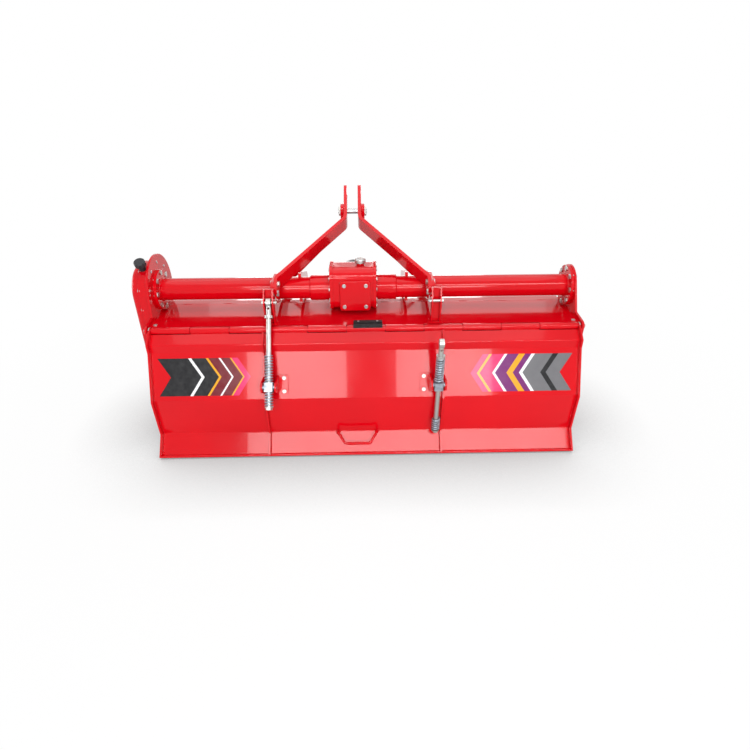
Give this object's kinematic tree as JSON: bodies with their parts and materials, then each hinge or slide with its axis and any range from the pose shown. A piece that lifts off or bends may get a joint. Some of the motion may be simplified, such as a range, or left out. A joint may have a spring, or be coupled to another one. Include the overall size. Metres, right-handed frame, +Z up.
{
  "type": "rotavator for a tractor's three-point linkage",
  "caption": "Red rotavator with a side gear case, sprung tailboard, splayed mast and rotor of L-blades",
  "frame": {"origin": "middle of the footprint, on the floor it parks on", "axes": "+X to the machine's right, +Y forward to the tractor, +Z up"},
  "size_m": [2.096, 0.8444, 1.109],
  "materials": {
    "red_paint": "glossy enamel",
    "zinc_steel": "zinc plate",
    "spring_steel": "plated wire",
    "blade_steel": "dark forged",
    "black_rubber": "matte",
    "black_plastic": "moulded"
  },
  "bodies": {
    "frame": {"beam_tube_left": "red_paint", "beam_tube_right": "red_paint", "gearbox_housing": "red_paint", "gearbox_rear_cover": "red_paint", "gearbox_breather": "zinc_steel", "input_cover": "red_paint", "input_guard": "black_plastic", "side_plate_left": "red_paint", "side_plate_right": "red_paint", "gear_case": "red_paint", "gear_case_cover": "red_paint", "filler_cap": "black_plastic", "bearing_housing": "red_paint", "hood": "red_paint", "hinge_rod": "red_paint", "hinge_pad": "black_rubber", "top_link_pin": "zinc_steel", "skid_left": "red_paint", "skid_right": "red_paint", "mast_bar_right": "red_paint", "mast_bar_left": "red_paint", "front_stay_right": "red_paint", "front_stay_left": "red_paint", "hitch_plates_right": "red_paint", "hitch_plates_left": "red_paint", "lower_pin_right": "zinc_steel", "lower_pin_left": "zinc_steel", "rod_bracket_right": "red_paint", "rod_bracket_left": "red_paint", "anchor_pin_right": "zinc_steel", "anchor_pin_left": "zinc_steel"},
    "rotor": {"rotor_shaft": "red_paint", "blade_gangs": "blade_steel"},
    "drive": {"input_shaft": "zinc_steel"},
    "tailboard": {"tailboard_panel": "red_paint", "tailboard_ribs": "red_paint", "tailboard_handle": "red_paint", "inner_ear_right": "red_paint", "inner_ear_left": "red_paint", "right_trunnion": "spring_steel", "right_upper_spring": "spring_steel"},
    "left_swivel": {"left_trunnion": "spring_steel", "left_upper_spring": "spring_steel"},
    "left_strut": {"left_rod": "zinc_steel", "left_lower_spring": "spring_steel"},
    "right_strut": {"right_rod": "zinc_steel", "right_lower_spring": "spring_steel"}
  },
  "joints": [
    {"name": "rotor_spin", "type": "hinge", "parent": "frame", "child": "rotor", "pos_m": [-0.046, 0.05619, 0.257], "axis": [-1, 0, 0], "continuous": true},
    {"name": "drive_spin", "type": "hinge", "parent": "frame", "child": "drive", "pos_m": [-0.046, 0.04619, 0.693], "axis": [0, 1, 0], "continuous": true},
    {"name": "tailboard_lift", "type": "hinge", "parent": "frame", "child": "tailboard", "pos_m": [-0.046, -0.18381, 0.575], "axis": [-1, 0, 0], "range_deg": [0, 45]},
    {"name": "left_rod_swing", "type": "hinge", "parent": "tailboard", "child": "left_swivel", "pos_m": [-0.416, -0.35981, 0.377], "axis": [-1, 0, 0], "range_deg": [-12.58, 0.2]},
    {"name": "left_rod_slide", "type": "slide", "parent": "left_swivel", "child": "left_strut", "axis": [0, 0.5125, 0.8587], "range_m": [-0.058, 0.0005]},
    {"name": "right_rod_lift", "type": "slide", "parent": "tailboard", "child": "right_strut", "axis": [0, -0.1132, 0.9936], "range_m": [0, 0.156]}
  ],
  "couplings": [
    {"joint": "drive_spin", "follows": "rotor_spin", "ratio": 2.6},
    {"joint": "left_rod_swing", "follows": "tailboard_lift", "ratio": -0.275},
    {"joint": "left_rod_slide", "follows": "tailboard_lift", "m_per_rad": -0.073224}
  ]
}
